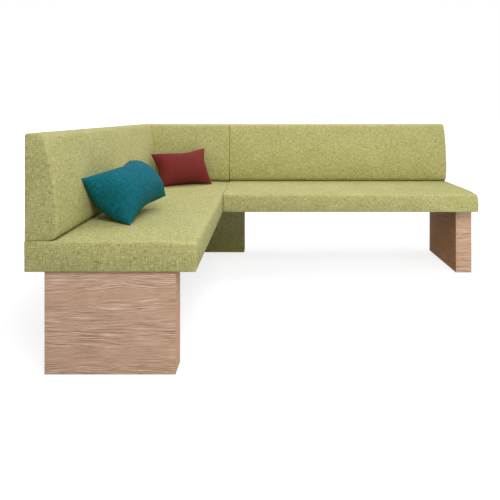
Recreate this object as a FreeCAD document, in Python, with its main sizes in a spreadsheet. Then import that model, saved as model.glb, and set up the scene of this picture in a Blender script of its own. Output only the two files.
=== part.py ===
"""An upholstered corner bench with oak panel legs, as a parametric document.

Two slab seats meet at a seam, three wedge backs stand on their wall sides, a fabric covered foot carries
the inner corner, and two loose pillows lie on the short wing. Millimetres, +Z up, +X along the long wing,
+Y towards the wall behind it. The origin is on the floor, in the middle of the outline.
"""

import FreeCAD
import Part
import Sketcher

import math
import os
from types import SimpleNamespace

SIZES = {
    # Whole bench
    "overall_length": 2100,
    "return_length": 1700,
    "overall_height": 870,
    "unit_depth": 618,
    "seam_gap": 1,
    # Seat slabs
    "seat_height": 486,
    "seat_thickness": 110,
    "seat_crown": 6,
    "seat_edge_radius": 10,
    "underside_wrap": 45,
    "dust_cover_thickness": 1,
    # Wedge backs
    "back_base_thickness": 118,
    "back_top_thickness": 66,
    "back_bow": 17,
    "back_edge_radius": 12,
    "mitre_gap": 0.3,
    # Upholstery layers
    "cover_thickness": 2,
    "edge_foam": 10,
    "foam_clearance": 0.3,
    # Seat frames
    "rail_thickness": 22,
    "rail_height": 45,
    "cross_rail_spacing": 420,
    "bearer_width": 42,
    "bearer_thickness": 22,
    "webbing_width": 50,
    "webbing_thickness": 2,
    "webbing_spacing": 105,
    # Back frames
    "base_rail_height": 60,
    "top_rail_height": 40,
    "upright_width": 50,
    "upright_spacing": 450,
    "front_panel_thickness": 4,
    # Oak legs
    "leg_width": 475,
    "leg_thickness": 93,
    "leg_end_inset": 9,
    "leg_front_inset": 74,
    "leg_board_thickness": 22,
    "leg_block_height": 40,
    # Corner foot
    "foot_setback": 27,
    "foot_thickness": 93,
    "foot_post_width": 60,
    "foot_panel_thickness": 12,
    "foot_end_margin": 15,
    "foot_edge_radius": 5,
    # Glides under the legs and the foot
    "glide_height": 3,
    "glide_radius": 14,
    "glide_inset": 60,
    # Leg bolts and their threaded inserts
    "bolt_radius": 4,
    "bolt_head_radius": 6.5,
    "bolt_head_height": 8,
    "bolt_inset": 90,
    "insert_radius": 6,
    "insert_length": 25,
    "thread_clearance": 0.1,
    "hole_clearance": 0.5,
    # Back brackets and wood screws
    "bracket_width": 40,
    "bracket_thickness": 5,
    "bracket_grip": 40,
    "bracket_spacing": 480,
    "bracket_inset": 150,
    "screw_radius": 2.5,
    "screw_head_radius": 5,
    "screw_head_height": 3,
    "screw_length": 18,
    # Plates that join the two seats from below
    "plate_length": 90,
    "plate_width": 40,
    "plate_thickness": 4,
    "plate_inset": 110,
    # Pillows: corner to corner sizes, then places measured from the outer front corner and the seat
    "pillow_cover_thickness": 1.5,
    "pillow_round": 12,
    "pillow_rest_gap": 0.4,
    "teal_pillow_length": 446,
    "teal_pillow_width": 272,
    "teal_pillow_thickness": 206,
    "teal_pillow_draw_in": 34,
    "teal_pillow_off_back": 144.2,
    "teal_pillow_from_front": 464.6,
    "teal_pillow_rise": 121.7,
    "teal_pillow_turn": 79,
    "teal_pillow_tilt": 7.1,
    "teal_pillow_lean": 42.7,
    "red_pillow_length": 379,
    "red_pillow_width": 290,
    "red_pillow_thickness": 163,
    "red_pillow_draw_in": 28,
    "red_pillow_off_back": 207.9,
    "red_pillow_off_rear": 145.3,
    "red_pillow_rise": 106.9,
    "red_pillow_turn": 26,
    "red_pillow_tilt": 1.9,
    "red_pillow_lean": 56.4,
}

# Heights, as shares of the half thickness, at which a pillow's outline is drawn for its loft.
PILLOW_LEVELS = (0, 0.3, 0.6, 0.85, 0.97)
# The least bow of an outline's side, so that it is always an arc.
LEAST_BOW = 0.05
# How far a cutting tool reaches past what it cuts.
REACH = 60

doc = FreeCAD.newDocument("CornerBench")
sheet = doc.addObject("Spreadsheet::Sheet", "Sizes")
for row, (alias, number) in enumerate(SIZES.items(), start=1):
    sheet.set(f"A{row}", alias)
    sheet.set(f"B{row}", str(number))
    sheet.setAlias(f"B{row}", alias)
doc.recompute()


class Dim:
    """A length worked out from the sheet: its number, and the expression that binds it."""

    def __init__(self, value, text):
        self.value = value
        self.text = text

    @staticmethod
    def of(other):
        return other if isinstance(other, Dim) else Dim(float(other), f"{other:g}")

    def __add__(self, other):
        other = Dim.of(other)
        return Dim(self.value + other.value, f"({self.text} + {other.text})")

    def __sub__(self, other):
        other = Dim.of(other)
        return Dim(self.value - other.value, f"({self.text} - {other.text})")

    def __mul__(self, other):
        other = Dim.of(other)
        return Dim(self.value * other.value, f"({self.text} * {other.text})")

    def __truediv__(self, other):
        other = Dim.of(other)
        return Dim(self.value / other.value, f"({self.text} / {other.text})")

    __radd__ = __add__
    __rmul__ = __mul__

    def __rsub__(self, other):
        return Dim.of(other) - self

    def __neg__(self):
        return Dim.of(0) - self


s = SimpleNamespace(**{alias: Dim(float(sheet.get(alias)), f"Sizes.{alias}") for alias in SIZES})
parts = []

# Planes and offsets that several pieces share
left_x = -s.overall_length / 2
rear_y = s.return_length / 2
front_y = -s.return_length / 2
right_length = s.overall_length - s.unit_depth - s.seam_gap
seat_base = s.seat_height - s.seat_thickness
frame_inset = s.cover_thickness + s.edge_foam
frame_face = frame_inset + s.rail_thickness
frame_base = seat_base + s.cover_thickness
rail_top = frame_base + s.rail_height
foam_inset = s.cover_thickness + s.foam_clearance
bolt_line = frame_face + s.bearer_width / 2
leg_back = s.unit_depth - s.leg_front_inset - s.leg_width
# Backs along a seat stand where its crown reaches their front edge; one across a seat stands on the crown.
crown_share = (s.unit_depth / 2 - s.back_base_thickness) / (s.unit_depth / 2)
along_base = s.seat_height - s.seat_crown * crown_share * crown_share
across_base = s.seat_height


def bind(item, prop, dim):
    """Sets a property from the sheet, or to a plain number."""
    item.setExpression(prop, Dim.of(dim).text)


class Unit:
    """A straight run of the bench: a is the distance from its wall side, b the distance along it. Its back
    stands at back_base."""

    def __init__(self, x, y, length, turned, back_base):
        self.x = Dim.of(x)
        self.y = Dim.of(y)
        self.length = Dim.of(length)
        self.turned = turned
        self.back_base = back_base
        self.back_height = s.overall_height - back_base

    def place(self, item, a, b, z, spin=None):
        """Stands an item's own origin at a, b, z, turned with the run, after its own spin."""
        turn = FreeCAD.Rotation(FreeCAD.Vector(0, 0, 1), -90 if self.turned else 0)
        item.Placement = FreeCAD.Placement(FreeCAD.Vector(), turn * spin if spin else turn)
        a, b = Dim.of(a), Dim.of(b)
        bind(item, "Placement.Base.x", self.x + (b if self.turned else a))
        bind(item, "Placement.Base.y", self.y - a if self.turned else self.y + b)
        bind(item, "Placement.Base.z", z)
        return item


left_unit = Unit(left_x, front_y, s.return_length, False, along_base)
right_unit = Unit(left_x + s.unit_depth + s.seam_gap, rear_y, right_length, True, along_base)
corner_unit = Unit(left_x, rear_y, s.unit_depth, True, across_base)


# Solids

def box(label, unit, a, b, z, da, db, dz):
    item = doc.addObject("Part::Box", label)
    for prop, dim in (("Length", da), ("Width", db), ("Height", dz)):
        bind(item, prop, dim)
    return unit.place(item, a, b, z)


def rod(label, unit, a, b, z, radius, length, inward=False):
    """A cylinder that rises from a, b, z, or lies from there along +a."""
    item = doc.addObject("Part::Cylinder", label)
    bind(item, "Radius", radius)
    bind(item, "Height", length)
    spin = FreeCAD.Rotation(FreeCAD.Vector(0, 1, 0), 90) if inward else None
    return unit.place(item, a, b, z, spin)


def fuse(label, *items):
    joined = doc.addObject("Part::MultiFuse", label)
    joined.Shapes = list(items)
    return joined


def cut(label, base, *tools):
    result = doc.addObject("Part::Cut", label)
    result.Base = base
    result.Tool = tools[0] if len(tools) == 1 else fuse(f"{label}_tools", *tools)
    return result


def pierced(item, tools):
    """The item less its holes, if it has any."""
    return cut(f"{item.Name}_pierced", item, *tools) if tools else item


def part(label, item):
    """Marks an item as a sub-part under its own label."""
    item.Label = label
    parts.append(item)
    return item


def group(label, items):
    bundle = doc.addObject("Part::Compound", label)
    bundle.Links = list(items)
    return part(label, bundle)


def outline(body, corners, bows):
    """A closed sketch on the body's XZ plane. corners are bound (a, z) places, anticlockwise, and bows maps
    the number of an edge to the height of its outward arc."""
    plane = next(f for f in body.Origin.OriginFeatures if f.Role == "XZ_Plane")
    sketch = body.newObject("Sketcher::SketchObject", f"{body.Name}_outline")
    sketch.AttachmentSupport = [(plane, "")]
    sketch.MapMode = "FlatFace"
    corners = [(Dim.of(a), Dim.of(z)) for a, z in corners]
    points = [FreeCAD.Vector(a.value, z.value, 0) for a, z in corners]
    starts = []
    for i, start in enumerate(points):
        end = points[(i + 1) % len(points)]
        along = end - start
        if i in bows:
            outward = FreeCAD.Vector(along.y, -along.x, 0).normalize()
            middle = (start + end) / 2 + outward * bows[i].value
            sketch.addGeometry(Part.Arc(start, middle, end), False)
        else:
            sketch.addGeometry(Part.LineSegment(start, end), False)
        starts.append(1 if sketch.getPoint(i, 1).isEqual(start, 1e-6) else 2)
    for i, (a, z) in enumerate(corners):
        before = i - 1 if i else len(corners) - 1
        sketch.addConstraint(Sketcher.Constraint("Coincident", before, 3 - starts[before], i, starts[i]))
        for kind, axis, dim in (("DistanceX", -2, a), ("DistanceY", -1, z)):
            if dim.value == 0:
                sketch.addConstraint(Sketcher.Constraint("PointOnObject", i, starts[i], axis))
                continue
            number = sketch.addConstraint(Sketcher.Constraint(kind, -1, 1, i, starts[i], dim.value))
            sketch.setExpression(f"Constraints[{number}]", dim.text)
    for i, bow in bows.items():
        (a0, z0), (a1, z1) = corners[i], corners[(i + 1) % len(corners)]
        chord = (a1 - a0) * (a1 - a0) + (z1 - z0) * (z1 - z0)
        radius = (chord / 4 + bow * bow) / (2 * bow)
        number = sketch.addConstraint(Sketcher.Constraint("Radius", i, radius.value))
        sketch.setExpression(f"Constraints[{number}]", radius.text)
    return sketch


def bolster(label, corners, bows, length, radius):
    """A body of one outline, padded along the run, with every edge rounded."""
    body = doc.addObject("PartDesign::Body", label)
    sketch = outline(body, corners, bows)
    pad = body.newObject("PartDesign::Pad", f"{label}_pad")
    pad.Profile = sketch
    pad.Reversed = True
    bind(pad, "Length", length)
    doc.recompute()
    rounding = body.newObject("PartDesign::Fillet", f"{label}_rounding")
    rounding.Base = (pad, ["Face1"])
    rounding.UseAllEdges = True
    bind(rounding, "Radius", radius)
    return body


def headed(label, unit, a, b, z, shank, head, inward=False):
    """A bolt or screw. shank and head are (radius, length): it drops from z, or runs along +a from a."""
    (radius, length), (head_radius, head_length) = shank, head
    if inward:
        stem = rod(f"{label}_stem", unit, a, b, z, radius, length, inward=True)
        cap = rod(f"{label}_cap", unit, a - head_length, b, z, head_radius, head_length, inward=True)
    else:
        stem = rod(f"{label}_stem", unit, a, b, z - length, radius, length)
        cap = rod(f"{label}_cap", unit, a, b, z, head_radius, head_length)
    return fuse(label, stem, cap)


def spread(first, last, spacing):
    """Evenly spaced places from first to last, no further apart than spacing."""
    steps = max(1, math.ceil((last.value - first.value) / spacing.value))
    return [first + (last - first) * (i / steps) for i in range(steps + 1)]


# Seats

def seat_slab(label, unit, inset, radius):
    """The crowned slab of a seat, drawn in by inset on every side."""
    width = s.unit_depth - 2 * inset
    side = s.seat_thickness - s.seat_crown - 2 * inset
    body = bolster(
        label,
        [(0, 0), (width, 0), (width, side), (0, side)],
        {2: s.seat_crown},
        unit.length - 2 * inset,
        radius,
    )
    return unit.place(body, inset, inset, seat_base + inset)


def seat(name, unit, bolts, slots, plate_holes, screw_holes):
    """One seat: frame, webbing, foam, cover and dust cover. bolts are (a, b) places on its underside, slots
    the tools that clear the back brackets, plate_holes those for the joining plates' screws, and screw_holes
    the pilot holes of each rail by its side."""
    length = unit.length
    inner_span = s.unit_depth - 2 * frame_face
    for side, a in (("outer", frame_inset), ("inner", s.unit_depth - frame_face)):
        rail = box(f"{name}_{side}_rail", unit, a, frame_inset, frame_base,
                   s.rail_thickness, length - 2 * frame_inset, s.rail_height)
        part(f"{name}_seat_{side}_rail", pierced(rail, screw_holes.get(side)))
    end_rails = []
    for side, b in (("near", frame_inset), ("far", length - frame_face)):
        rail = box(f"{name}_{side}_rail", unit, frame_face, b, frame_base,
                   inner_span, s.rail_thickness, s.rail_height)
        end_rails.append(pierced(rail, screw_holes.get(side)))
    group(f"{name}_seat_end_rails", end_rails)
    bearers = []
    for b in (frame_face, length - frame_face - s.bearer_width):
        blank = box(f"{name}_bearer_blank", unit, frame_face, b, frame_base,
                    inner_span, s.bearer_width, s.bearer_thickness)
        holes = [
            rod(f"{name}_bearer_hole", unit, a, along, frame_base - 1,
                s.bolt_radius + s.hole_clearance, s.bearer_thickness + 2)
            for a, along in bolts if 0 < along.value - b.value < s.bearer_width.value]
        bearers.append(cut(f"{name}_bearer", blank, *holes))
    group(f"{name}_seat_bearers", bearers)
    first_bay = frame_face + s.bearer_width
    rails = spread(first_bay, length - first_bay, s.cross_rail_spacing)[1:-1]
    group(f"{name}_seat_cross_rails", [
        box(f"{name}_cross_rail", unit, frame_face, b - s.rail_thickness / 2, frame_base,
            inner_span, s.rail_thickness, s.rail_height)
        for b in rails])
    straps = spread(first_bay, length - first_bay, s.webbing_spacing)
    group(f"{name}_seat_webbing", [
        box(f"{name}_strap", unit, frame_inset, b - s.webbing_width / 2, rail_top,
            s.unit_depth - 2 * frame_inset, s.webbing_width, s.webbing_thickness)
        for b in straps])
    frame_space = box(
        f"{name}_frame_space", unit, frame_inset, frame_inset, seat_base - REACH,
        s.unit_depth - 2 * frame_inset, length - 2 * frame_inset,
        rail_top + s.webbing_thickness - seat_base + REACH)
    block = seat_slab(f"{name}_foam_block", unit, foam_inset, s.seat_edge_radius - foam_inset)
    part(f"{name}_seat_foam", cut(f"{name}_foam", block, frame_space, *slots))
    outer = seat_slab(f"{name}_slab", unit, Dim.of(0), s.seat_edge_radius)
    hollow = seat_slab(f"{name}_hollow", unit, s.cover_thickness, s.seat_edge_radius - s.cover_thickness)
    mouth = box(
        f"{name}_mouth", unit, s.underside_wrap, s.underside_wrap, seat_base - REACH,
        s.unit_depth - 2 * s.underside_wrap, length - 2 * s.underside_wrap, s.cover_thickness + REACH)
    part(f"{name}_seat_cover", cut(f"{name}_cover", outer, hollow, mouth, *slots, *plate_holes))
    cloth = box(
        f"{name}_cloth", unit, s.underside_wrap + s.foam_clearance, s.underside_wrap + s.foam_clearance,
        frame_base - s.dust_cover_thickness, s.unit_depth - 2 * (s.underside_wrap + s.foam_clearance),
        length - 2 * (s.underside_wrap + s.foam_clearance), s.dust_cover_thickness)
    bolt_holes = [
        rod(f"{name}_cloth_hole", unit, a, b, seat_base - 1,
            s.bolt_radius + s.hole_clearance, s.cover_thickness + 2)
        for a, b in bolts]
    part(f"{name}_seat_dust_cover", cut(f"{name}_dust_cover", cloth, *bolt_holes))


# Backs

def back_wedge(label, unit, inset, radius):
    """The wedge of a back, upright on the wall side, drawn in by inset on every side."""
    def front(z):
        slope = (s.back_base_thickness - s.back_top_thickness) / unit.back_height
        return s.back_base_thickness - slope * z - 2 * inset
    height = unit.back_height - 2 * inset
    body = bolster(
        label,
        [(0, 0), (front(inset), 0), (front(unit.back_height - inset), height), (0, height)],
        {1: s.back_bow},
        unit.length - 2 * inset,
        radius,
    )
    return unit.place(body, inset, inset, unit.back_base + inset)


def mitre(label, unit, gap, at_far_end):
    """The tool that cuts a back at 45 degrees, gap away from the plane through the outer corner."""
    tool = doc.addObject("Part::Box", label)
    span = s.back_base_thickness + 2 * REACH
    for prop, dim in (("Length", 2 * span), ("Width", 2 * span), ("Height", unit.back_height + 2 * REACH)):
        bind(tool, prop, dim)
    angle = -45 if at_far_end else 225
    spin = FreeCAD.Rotation(FreeCAD.Vector(0, 0, 1), angle)
    base = unit.back_base - REACH
    if at_far_end:
        return unit.place(tool, -REACH, unit.length + REACH - gap, base, spin)
    return unit.place(tool, span, span + gap, base, spin)


def bracket_places(start, end):
    return spread(start + s.bracket_inset, end - s.bracket_inset, s.bracket_spacing)


def bracket_slots(name, unit, places):
    """Pockets for the brackets and their screw heads, open to the wall side."""
    clear = s.foam_clearance
    return [
        box(f"{name}_bracket_slot", unit, s.cover_thickness, b - s.bracket_width / 2 - clear,
            rail_top - s.bracket_grip - clear, s.edge_foam, s.bracket_width + 2 * clear,
            unit.back_base + s.cover_thickness + s.bracket_grip - rail_top + s.bracket_grip + 2 * clear)
        for b in places]


def back(name, unit, start, end, slots, screw_holes, mitre_end):
    """One back: frame, panel, foam and cover. start and end bound its frame, slots clear its brackets,
    screw_holes are the pilot holes in its base rail, and mitre_end is near, far or None."""
    base = unit.back_base + s.cover_thickness
    top = s.overall_height - frame_inset
    run = end - start
    base_rail = box(f"{name}_base_rail", unit, frame_inset, start, base,
                    s.rail_thickness, run, s.base_rail_height)
    part(f"{name}_back_base_rail", pierced(base_rail, screw_holes))
    part(f"{name}_back_top_rail", box(
        f"{name}_top_rail", unit, frame_inset, start, top - s.top_rail_height,
        s.rail_thickness, run, s.top_rail_height))
    shoulder = base + s.base_rail_height
    group(f"{name}_back_uprights", [
        box(f"{name}_upright", unit, frame_inset, b, shoulder,
            s.rail_thickness, s.upright_width, top - s.top_rail_height - shoulder)
        for b in spread(start, end - s.upright_width, s.upright_spacing)])
    part(f"{name}_back_front_panel", box(
        f"{name}_front_panel", unit, frame_face, start, shoulder,
        s.front_panel_thickness, run, top - shoulder))
    frame_space = box(
        f"{name}_back_frame_space", unit, frame_inset, start, unit.back_base - REACH,
        s.rail_thickness, run, top - unit.back_base + REACH)
    panel_space = box(
        f"{name}_panel_space", unit, frame_face, start, shoulder,
        s.front_panel_thickness, run, top - shoulder)

    def wedge(label, inset, radius):
        blank = back_wedge(f"{label}_wedge", unit, inset, radius)
        if mitre_end is None:
            return blank
        gap = s.mitre_gap + inset * math.sqrt(2)
        return cut(label, blank, mitre(f"{label}_mitre", unit, gap, mitre_end == "far"))

    block = wedge(f"{name}_back_block", foam_inset, s.back_edge_radius - foam_inset)
    part(f"{name}_back_foam", cut(f"{name}_back_foam_cut", block, frame_space, panel_space, *slots))
    outer = wedge(f"{name}_back_outer", Dim.of(0), s.back_edge_radius)
    hollow = wedge(f"{name}_back_hollow", s.cover_thickness, s.back_edge_radius - s.cover_thickness)
    part(f"{name}_back_cover", cut(f"{name}_back_cover_cut", outer, hollow, *slots))


def brackets(name, unit, places):
    """Flat bars on the wall side of the frames, each with two screws in the seat and two in the back, and the
    tools for the pilot holes in the rails of both."""
    reach = unit.back_base + s.cover_thickness + s.bracket_grip - rail_top + s.bracket_grip
    outside = frame_inset - s.bracket_thickness
    foot = rail_top - s.bracket_grip
    bars, screws, seat_holes, back_holes = [], [], [], []
    for b in places:
        blank = box(f"{name}_bar", unit, outside, b - s.bracket_width / 2, foot,
                    s.bracket_thickness, s.bracket_width, reach)
        holes = []
        for z, pilots in ((foot + s.bracket_grip / 2, seat_holes),
                          (foot + reach - s.bracket_grip / 2, back_holes)):
            for along in (b - s.bracket_width / 4, b + s.bracket_width / 4):
                holes.append(rod(f"{name}_bar_hole", unit, outside - 1, along, z,
                                 s.screw_radius + s.thread_clearance, s.bracket_thickness + 2, inward=True))
                pilots.append(rod(f"{name}_pilot", unit, frame_inset - 1, along, z,
                                  s.screw_radius + s.thread_clearance,
                                  s.screw_length - s.bracket_thickness + 1 + s.thread_clearance, inward=True))
                screws.append(headed(f"{name}_screw", unit, outside, along, z,
                                     (s.screw_radius, s.screw_length),
                                     (s.screw_head_radius, s.screw_head_height), inward=True))
        bars.append(cut(f"{name}_bracket", blank, *holes))
    return SimpleNamespace(bars=bars, screws=screws, seat_holes=seat_holes, back_holes=back_holes)


# Legs, corner foot and their fastenings

def mitred_board(label, unit, a, b, width, quarter_turns):
    """A board whose ends are mitred inwards, standing on its long edge from a, b, turned by quarters."""
    body = doc.addObject("PartDesign::Body", label)
    inset = s.leg_board_thickness
    sketch = outline(body, [(0, 0), (width, 0), (width - inset, inset), (inset, inset)], {})
    pad = body.newObject("PartDesign::Pad", f"{label}_pad")
    pad.Profile = sketch
    bind(pad, "Length", seat_base - s.glide_height)
    upright = FreeCAD.Rotation(FreeCAD.Vector(1, 0, 0), -90)
    flat = FreeCAD.Rotation(FreeCAD.Vector(0, 0, 1), 90 * quarter_turns)
    return unit.place(body, a, b, s.glide_height, flat * upright)


def leg(name, unit, start):
    """A hollow oak panel of four mitred boards, with blocks glued in at its top and bottom."""
    end = start + s.leg_thickness
    front = leg_back + s.leg_width
    group(f"{name}_leg_faces", [
        mitred_board(f"{name}_face_a", unit, leg_back, start, s.leg_width, 0),
        mitred_board(f"{name}_face_b", unit, front, end, s.leg_width, 2)])
    group(f"{name}_leg_edges", [
        mitred_board(f"{name}_edge_a", unit, front, start, s.leg_thickness, 1),
        mitred_board(f"{name}_edge_b", unit, leg_back, end, s.leg_thickness, 3)])
    depth = s.leg_thickness - 2 * s.leg_board_thickness
    width = s.leg_width - 2 * s.leg_board_thickness
    blocks = [
        box(f"{name}_block", unit, leg_back + s.leg_board_thickness, start + s.leg_board_thickness, z,
            width, depth, s.leg_block_height)
        for z in (s.glide_height, seat_base - s.leg_block_height)]
    return blocks


def leg_bolt_spots(b):
    return [(leg_back + s.bolt_inset, b), (leg_back + s.leg_width - s.bolt_inset, b)]


def sockets(name, unit, spots):
    """Tools for the holes that the threaded inserts sit in."""
    return [
        rod(f"{name}_socket", unit, a, b, seat_base - s.insert_length,
            s.insert_radius + s.thread_clearance, s.insert_length + 1)
        for a, b in spots]


def bolts_and_inserts(name, unit, spots):
    bolts, inserts = [], []
    drop = s.bearer_thickness + s.cover_thickness + s.insert_length - s.hole_clearance
    for a, b in spots:
        bolts.append(headed(f"{name}_bolt", unit, a, b, frame_base + s.bearer_thickness,
                            (s.bolt_radius, drop), (s.bolt_head_radius, s.bolt_head_height)))
        sleeve = rod(f"{name}_sleeve", unit, a, b, seat_base - s.insert_length,
                     s.insert_radius, s.insert_length)
        bore = rod(f"{name}_sleeve_bore", unit, a, b, seat_base - s.insert_length - 1,
                   s.bolt_radius + s.thread_clearance, s.insert_length + 2)
        inserts.append(cut(f"{name}_insert", sleeve, bore))
    return bolts, inserts


def glides(name, unit, spots):
    return [rod(f"{name}_glide", unit, a, b, 0, s.glide_radius, s.glide_height) for a, b in spots]


def foot_posts():
    """Where the corner foot's posts start: by the outer corner, half way, and under the right seat."""
    first = s.foot_setback + s.cover_thickness
    last = s.unit_depth + s.seam_gap + bolt_line - s.foot_post_width / 2
    return [first, (first + last) / 2, last]


def corner_foot(socket_tools):
    """A fabric covered panel across the inner corner: posts between two plywood sheets, in a sleeve."""
    start = s.foot_setback
    end = foot_posts()[-1] + s.foot_post_width + s.cover_thickness + s.foot_end_margin
    wall = s.cover_thickness + s.foot_panel_thickness
    inside = s.foot_thickness - 2 * wall
    base = s.glide_height + s.cover_thickness
    height = seat_base - base
    posts = [
        box("foot_post", corner_unit, s.foot_setback + wall, b, base, inside, s.foot_post_width, height)
        for b in foot_posts()]
    group("corner_foot_posts", [cut("foot_post_cut", post, *socket_tools) for post in posts])
    group("corner_foot_panels", [
        box("foot_panel", corner_unit, a, start + s.cover_thickness, base,
            s.foot_panel_thickness, end - start - 2 * s.cover_thickness, height)
        for a in (s.foot_setback + s.cover_thickness, s.foot_setback + s.foot_thickness - wall)])
    sleeve = doc.addObject("PartDesign::Body", "foot_sleeve")
    sketch = outline(sleeve, [
        (0, 0), (s.foot_thickness, 0), (s.foot_thickness, seat_base - s.glide_height),
        (0, seat_base - s.glide_height)], {})
    pad = sleeve.newObject("PartDesign::Pad", "foot_sleeve_pad")
    pad.Profile = sketch
    pad.Reversed = True
    bind(pad, "Length", end - start)
    doc.recompute()
    upright_edges = [
        f"Edge{i}" for i, edge in enumerate(pad.Shape.Edges, start=1)
        if abs(edge.tangentAt(edge.FirstParameter).z) > 0.5]
    rounding = sleeve.newObject("PartDesign::Fillet", "foot_sleeve_rounding")
    rounding.Base = (pad, upright_edges)
    bind(rounding, "Radius", s.foot_edge_radius)
    corner_unit.place(sleeve, s.foot_setback, start, s.glide_height)
    space = box("foot_space", corner_unit, s.foot_setback + s.cover_thickness, start + s.cover_thickness,
                base, s.foot_thickness - 2 * s.cover_thickness, end - start - 2 * s.cover_thickness,
                height + REACH)
    part("corner_foot_cover", cut("foot_cover", sleeve, space))


def joining_plates():
    """Two flat plates below the seam, each with two screws up into either seat's rail. Gives the plates, the
    screws, and the tools for their holes."""
    unit = right_unit
    reach = frame_inset + s.rail_thickness / 2
    underside = seat_base - s.plate_thickness
    plates, screws, tools = [], [], []
    for a in (s.unit_depth - s.plate_inset, s.unit_depth / 2):
        blank = box("plate_blank", unit, a - s.plate_width / 2, -(s.plate_length + s.seam_gap) / 2,
                    underside, s.plate_width, s.plate_length, s.plate_thickness)
        holes = []
        for across in (a - s.plate_width / 4, a + s.plate_width / 4):
            for b in (reach, -s.seam_gap - reach):
                stem = rod("plate_screw_stem", unit, across, b, underside, s.screw_radius, s.screw_length)
                cap = rod("plate_screw_cap", unit, across, b, underside - s.screw_head_height,
                          s.screw_head_radius, s.screw_head_height)
                screws.append(fuse("plate_screw", stem, cap))
                holes.append(rod("plate_screw_hole", unit, across, b, underside - 1,
                                 s.screw_radius + s.thread_clearance,
                                 s.screw_length + 1 + s.thread_clearance))
        plates.append(cut("joining_plate", blank, *holes))
        tools += holes
    return plates, screws, tools


# Pillows

def pillow_solid(length, width, thickness, draw_in, inset):
    """A knife-edged pillow: each half is a loft through outlines that shrink towards the crown.
    The seam's sides draw in between the corners, and the outlines turn round towards the crown."""
    half = thickness / 2 - inset
    sections = []
    for level in PILLOW_LEVELS:
        share = (1 - level) ** (1 / 3)
        bow = s.pillow_round.value * level - draw_in * (1 - level)
        if abs(bow) < LEAST_BOW:
            bow = LEAST_BOW
        a = (length / 2 - 2 * inset) * share
        b = (width / 2 - 2 * inset) * share
        z = half * level
        ring = [FreeCAD.Vector(x, y, z) for x, y in ((-a, -b), (a, -b), (a, b), (-a, b))]
        edges = []
        for i, start in enumerate(ring):
            end = ring[(i + 1) % len(ring)]
            along = end - start
            outward = FreeCAD.Vector(along.y, -along.x, 0).normalize()
            edges.append(Part.Arc(start, (start + end) / 2 + outward * bow * share, end).toShape())
        sections.append(Part.Wire(edges))
    upper = Part.makeLoft(sections, True, False)
    lower = upper.mirror(FreeCAD.Vector(), FreeCAD.Vector(0, 0, 1))
    return upper.fuse(lower).removeSplitter()


def pillow(name, x, y):
    """A loose pillow, leaning, and pressed flat where it rests on the seat."""
    length, width, thickness, draw_in, rise, turn, tilt, lean = (
        getattr(s, f"{name}_pillow_{word}").value
        for word in ("length", "width", "thickness", "draw_in", "rise", "turn", "tilt", "lean"))
    seat_top = s.seat_height.value
    place = FreeCAD.Placement(
        FreeCAD.Vector(x.value, y.value, seat_top + rise), FreeCAD.Rotation(turn, -tilt, lean))

    def rested(inset):
        solid = pillow_solid(length, width, thickness, draw_in, inset)
        solid.Placement = place
        rest = seat_top + s.pillow_rest_gap.value + inset
        below = Part.makeBox(2 * length, 2 * length, length,
                             FreeCAD.Vector(x.value - length, y.value - length, rest - length))
        return solid.cut(below)

    wall = s.pillow_cover_thickness.value
    cover = rested(0).cut(rested(wall))
    filling = rested(wall + s.foam_clearance.value)
    for kind, shape in (("cover", cover), ("filling", filling)):
        item = doc.addObject("Part::Feature", f"{name}_pillow_{kind}")
        item.Shape = shape
        part(f"{name}_pillow_{kind}", item)


# The bench

left_places = bracket_places(frame_inset, s.return_length - s.back_base_thickness)
corner_places = bracket_places(s.back_base_thickness, s.unit_depth)
right_places = bracket_places(frame_inset, right_length)
left_slots = bracket_slots("left", left_unit, left_places)
corner_slots = bracket_slots("corner", corner_unit, corner_places)
right_slots = bracket_slots("right", right_unit, right_places)
left_irons = brackets("left", left_unit, left_places)
corner_irons = brackets("corner", corner_unit, corner_places)
right_irons = brackets("right", right_unit, right_places)
plates, plate_screws, plate_holes = joining_plates()

left_leg_spots = leg_bolt_spots(bolt_line)
right_leg_spots = leg_bolt_spots(right_length - bolt_line)
post_middles = [b + s.foot_post_width / 2 for b in foot_posts()]
foot_spots = [(bolt_line, b) for b in post_middles]
left_foot_spots = [(b, s.return_length - bolt_line) for b in post_middles[:2]]
right_foot_spots = [(bolt_line, bolt_line)]

seat("left", left_unit, left_leg_spots + left_foot_spots, left_slots + corner_slots, plate_holes,
     {"outer": left_irons.seat_holes, "far": corner_irons.seat_holes, "inner": plate_holes})
seat("right", right_unit, right_leg_spots + right_foot_spots, right_slots, plate_holes,
     {"outer": right_irons.seat_holes, "near": plate_holes})

mitre_stop = frame_face + s.front_panel_thickness + frame_inset
back("left", left_unit, frame_inset, s.return_length - mitre_stop,
     left_slots, left_irons.back_holes, "far")
back("corner", corner_unit, mitre_stop, s.unit_depth - frame_inset,
     corner_slots, corner_irons.back_holes, "near")
back("right", right_unit, frame_inset, right_length - frame_inset,
     right_slots, right_irons.back_holes, None)

group("back_brackets", left_irons.bars + corner_irons.bars + right_irons.bars)
group("bracket_screws", left_irons.screws + corner_irons.screws + right_irons.screws)
group("joining_plates", plates)
group("plate_screws", plate_screws)

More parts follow.
